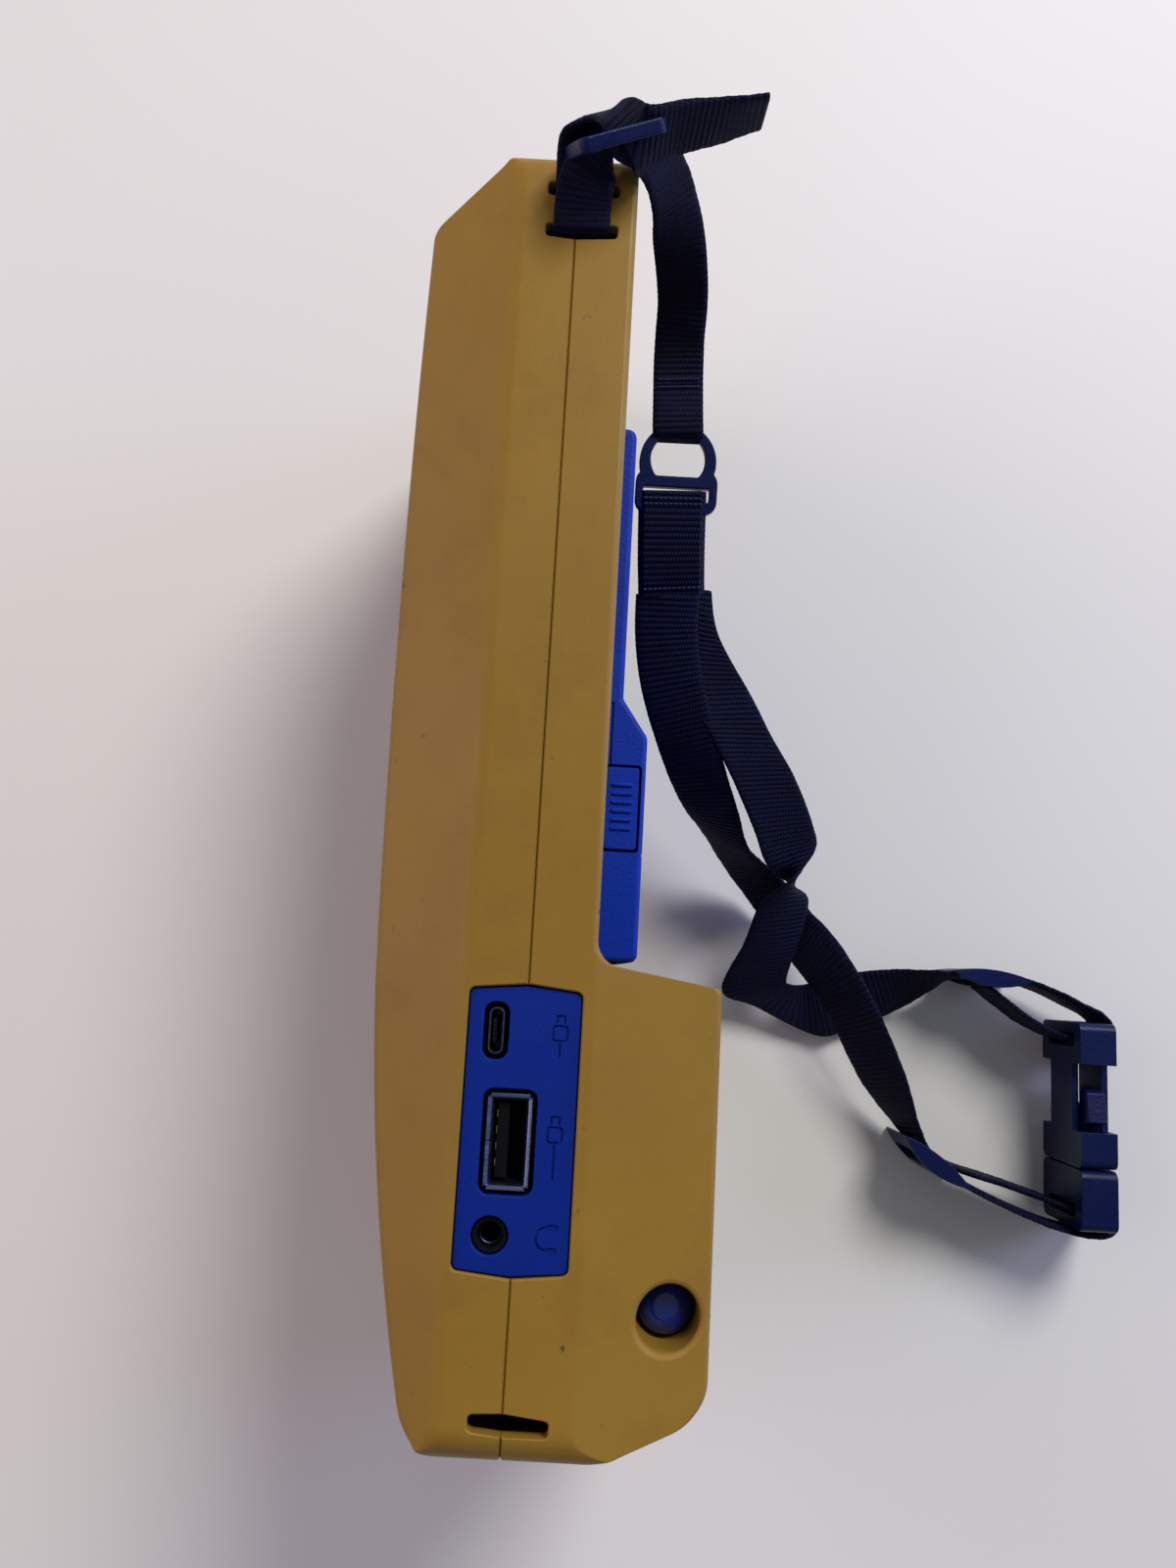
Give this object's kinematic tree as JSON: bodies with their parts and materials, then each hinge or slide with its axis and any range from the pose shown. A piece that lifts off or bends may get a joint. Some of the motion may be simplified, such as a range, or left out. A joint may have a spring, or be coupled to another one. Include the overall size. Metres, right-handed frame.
{
  "type": "data collector",
  "caption": "Handheld field data collector: two-shell case with keypad, port panel, removable battery pack and a webbing wrist tether with side-release buckle.",
  "frame": {"origin": "centre of the case's footprint as it lies on its far side, on the surface it lies on", "axes": "+X from the display face to the back, +Y up the case to its top end, +Z across the case to the port side"},
  "size_m": [0.1544, 0.2215, 0.108],
  "materials": {
    "case_yellow": "fine moulded texture, slightly worn",
    "fascia_blue": "matt moulded",
    "window_glass": "anti-glare glass",
    "lcd_frame": "pressed frame",
    "board_green": "solder mask",
    "screw_steel": "zinc plated",
    "keypad_rubber": "silicone",
    "key_grey": "matt key",
    "key_red": "matt key",
    "panel_blue": "matt moulded",
    "connector_steel": "plated sheet",
    "black_plastic": "moulded",
    "pack_dark": "moulded",
    "pack_blue": "matt moulded",
    "cell_foil": "shrink sleeve",
    "contact_gold": "gold plated",
    "plug_blue": "glossy",
    "seal_rubber": "matt",
    "webbing_navy": "woven nylon",
    "strap_plastic": "moulded acetal"
  },
  "bodies": {
    "case": {"front_shell": "case_yellow", "back_shell": "case_yellow", "case_gasket": "seal_rubber", "fascia": "fascia_blue", "display_window": "window_glass", "window_gasket": "seal_rubber", "lcd_module": "lcd_frame", "main_board": "board_green", "board_screws": "screw_steel", "keypad_board": "board_green", "keypad_membrane": "keypad_rubber", "port_panel": "panel_blue", "port_board": "board_green", "usb_a_shell": "connector_steel", "usb_a_tongue": "black_plastic", "micro_usb_shell": "connector_steel", "micro_usb_tongue": "black_plastic", "audio_jack": "black_plastic", "battery_contacts": "contact_gold", "speaker": "black_plastic", "radio_module": "connector_steel", "side_plug": "plug_blue", "plug_ring": "seal_rubber", "case_screws": "screw_steel", "tether_webbing": "webbing_navy", "tether_slider": "strap_plastic", "strap_ring": "strap_plastic", "loop_patch": "webbing_navy", "loop_webbing_upper": "webbing_navy", "loop_webbing_lower": "webbing_navy", "upper_slider": "strap_plastic", "lower_slider": "strap_plastic", "buckle_socket": "strap_plastic", "buckle_plug": "strap_plastic"},
    "battery_pack": {"battery_tray": "pack_dark", "battery_hook": "pack_dark", "battery_cover": "pack_blue", "battery_cells": "cell_foil", "battery_terminals": "contact_gold"},
    "latch_port_side": {"latch_port_side": "pack_blue"},
    "latch_far_side": {"latch_far_side": "pack_blue"},
    "buckle_arm_low": {"buckle_arm_low": "strap_plastic"},
    "buckle_arm_high": {"buckle_arm_high": "strap_plastic"},
    "key_menu": {"key_menu": "key_grey"},
    "key_home": {"key_home": "key_grey"},
    "key_back": {"key_back": "key_grey"},
    "key_up": {"key_up": "key_grey"},
    "key_down": {"key_down": "key_grey"},
    "key_left": {"key_left": "key_grey"},
    "key_right": {"key_right": "key_grey"},
    "key_select": {"key_select": "key_grey"},
    "key_shift": {"key_shift": "key_grey"},
    "key_power": {"key_power": "key_red"},
    "key_enter": {"key_enter": "key_grey"}
  },
  "joints": [
    {"name": "key_menu_press", "type": "slide", "parent": "case", "child": "key_menu", "axis": [1, 0, 0], "range_m": [0, 0.0009], "stiffness_N_per_m": 1200},
    {"name": "key_home_press", "type": "slide", "parent": "case", "child": "key_home", "axis": [1, 0, 0], "range_m": [0, 0.0009], "stiffness_N_per_m": 1200},
    {"name": "key_back_press", "type": "slide", "parent": "case", "child": "key_back", "axis": [1, 0, 0], "range_m": [0, 0.0009], "stiffness_N_per_m": 1200},
    {"name": "key_up_press", "type": "slide", "parent": "case", "child": "key_up", "axis": [1, 0, 0], "range_m": [0, 0.0009], "stiffness_N_per_m": 1200},
    {"name": "key_down_press", "type": "slide", "parent": "case", "child": "key_down", "axis": [1, 0, 0], "range_m": [0, 0.0009], "stiffness_N_per_m": 1200},
    {"name": "key_left_press", "type": "slide", "parent": "case", "child": "key_left", "axis": [1, 0, 0], "range_m": [0, 0.0009], "stiffness_N_per_m": 1200},
    {"name": "key_right_press", "type": "slide", "parent": "case", "child": "key_right", "axis": [1, 0, 0], "range_m": [0, 0.0009], "stiffness_N_per_m": 1200},
    {"name": "key_select_press", "type": "slide", "parent": "case", "child": "key_select", "axis": [1, 0, 0], "range_m": [0, 0.0009], "stiffness_N_per_m": 1200},
    {"name": "key_shift_press", "type": "slide", "parent": "case", "child": "key_shift", "axis": [1, 0, 0], "range_m": [0, 0.0009], "stiffness_N_per_m": 1200},
    {"name": "key_power_press", "type": "slide", "parent": "case", "child": "key_power", "axis": [1, 0, 0], "range_m": [0, 0.0009], "stiffness_N_per_m": 1200},
    {"name": "key_enter_press", "type": "slide", "parent": "case", "child": "key_enter", "axis": [1, 0, 0], "range_m": [0, 0.0009], "stiffness_N_per_m": 1200},
    {"name": "battery_tilt", "type": "hinge", "parent": "case", "child": "battery_pack", "pos_m": [0.00515, 0.06325, 0.047], "axis": [0, 0, 1], "range_deg": [0, 4]},
    {"name": "latch_port_side_press", "type": "slide", "parent": "battery_pack", "child": "latch_port_side", "axis": [0, 0, -1], "range_m": [0, 0.0011], "stiffness_N_per_m": 2000},
    {"name": "latch_far_side_press", "type": "slide", "parent": "battery_pack", "child": "latch_far_side", "axis": [0, 0, 1], "range_m": [0, 0.0011], "stiffness_N_per_m": 2000},
    {"name": "buckle_arm_low_squeeze", "type": "hinge", "parent": "case", "child": "buckle_arm_low", "pos_m": [0.1186, -0.0718, 0.0065], "axis": [1, 0, 0], "range_deg": [0, 7], "stiffness_Nm_per_rad": 0.6},
    {"name": "buckle_arm_high_squeeze", "type": "hinge", "parent": "case", "child": "buckle_arm_high", "pos_m": [0.1186, -0.0718, 0.0149], "axis": [-1, 0, 0], "range_deg": [0, 7], "stiffness_Nm_per_rad": 0.6}
  ]
}
